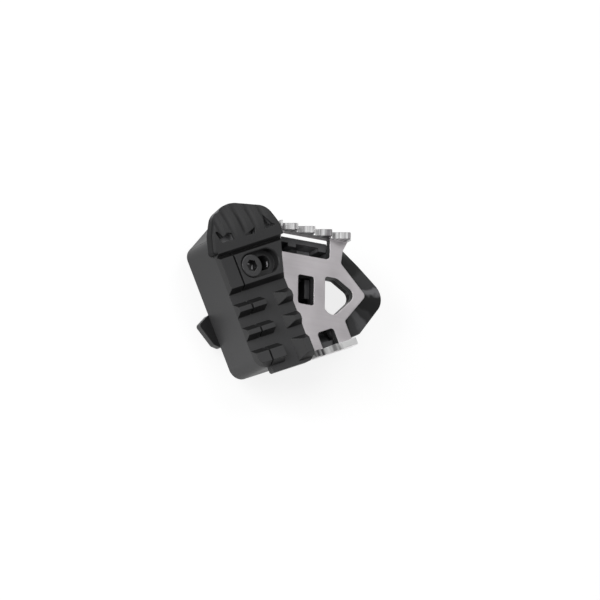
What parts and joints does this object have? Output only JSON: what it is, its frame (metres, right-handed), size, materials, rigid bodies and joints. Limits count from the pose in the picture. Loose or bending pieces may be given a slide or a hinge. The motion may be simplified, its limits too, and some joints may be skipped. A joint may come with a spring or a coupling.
{
  "type": "brake pedal extension",
  "caption": "Clamp-on foot tread for a brake pedal: ribbed black block on a slotted clamp screw, with a silver saw-toothed side plate on a black pan and a jaw behind.",
  "frame": {"origin": "the point where the clamp screw's axis meets the underside of the rear jaw", "axes": "+Z from the jaw to the face under the sole, +X outboard along the silver plate's long window, +Y towards the nose end"},
  "size_m": [0.0967, 0.0766, 0.0345],
  "materials": {
    "block_black": "black anodised, satin",
    "pan_black": "black anodised, satin",
    "jaw_black": "black anodised, satin",
    "plate_silver": "fine brushed",
    "screw_black": "black oxide",
    "zinc": "zinc plated"
  },
  "bodies": {
    "clamp": {"rear_jaw": "jaw_black", "clamp_screw": "screw_black", "clamp_nut": "zinc"},
    "extension": {"tread_block": "block_black", "base_pan": "pan_black", "tread_plate": "plate_silver", "plate_screw_1": "screw_black", "plate_screw_2": "screw_black", "plate_screw_3": "screw_black", "plate_stud_1": "zinc", "plate_stud_2": "zinc", "plate_stud_3": "zinc", "stud_washer_1": "zinc", "stud_washer_2": "zinc", "stud_washer_3": "zinc", "stud_nut_1": "zinc", "stud_nut_2": "zinc", "stud_nut_3": "zinc"}
  },
  "joints": [
    {"name": "reach_slide", "type": "slide", "parent": "clamp", "child": "extension", "axis": [-0.9063, -0.4226, 0], "range_m": [0, 0.009]}
  ]
}
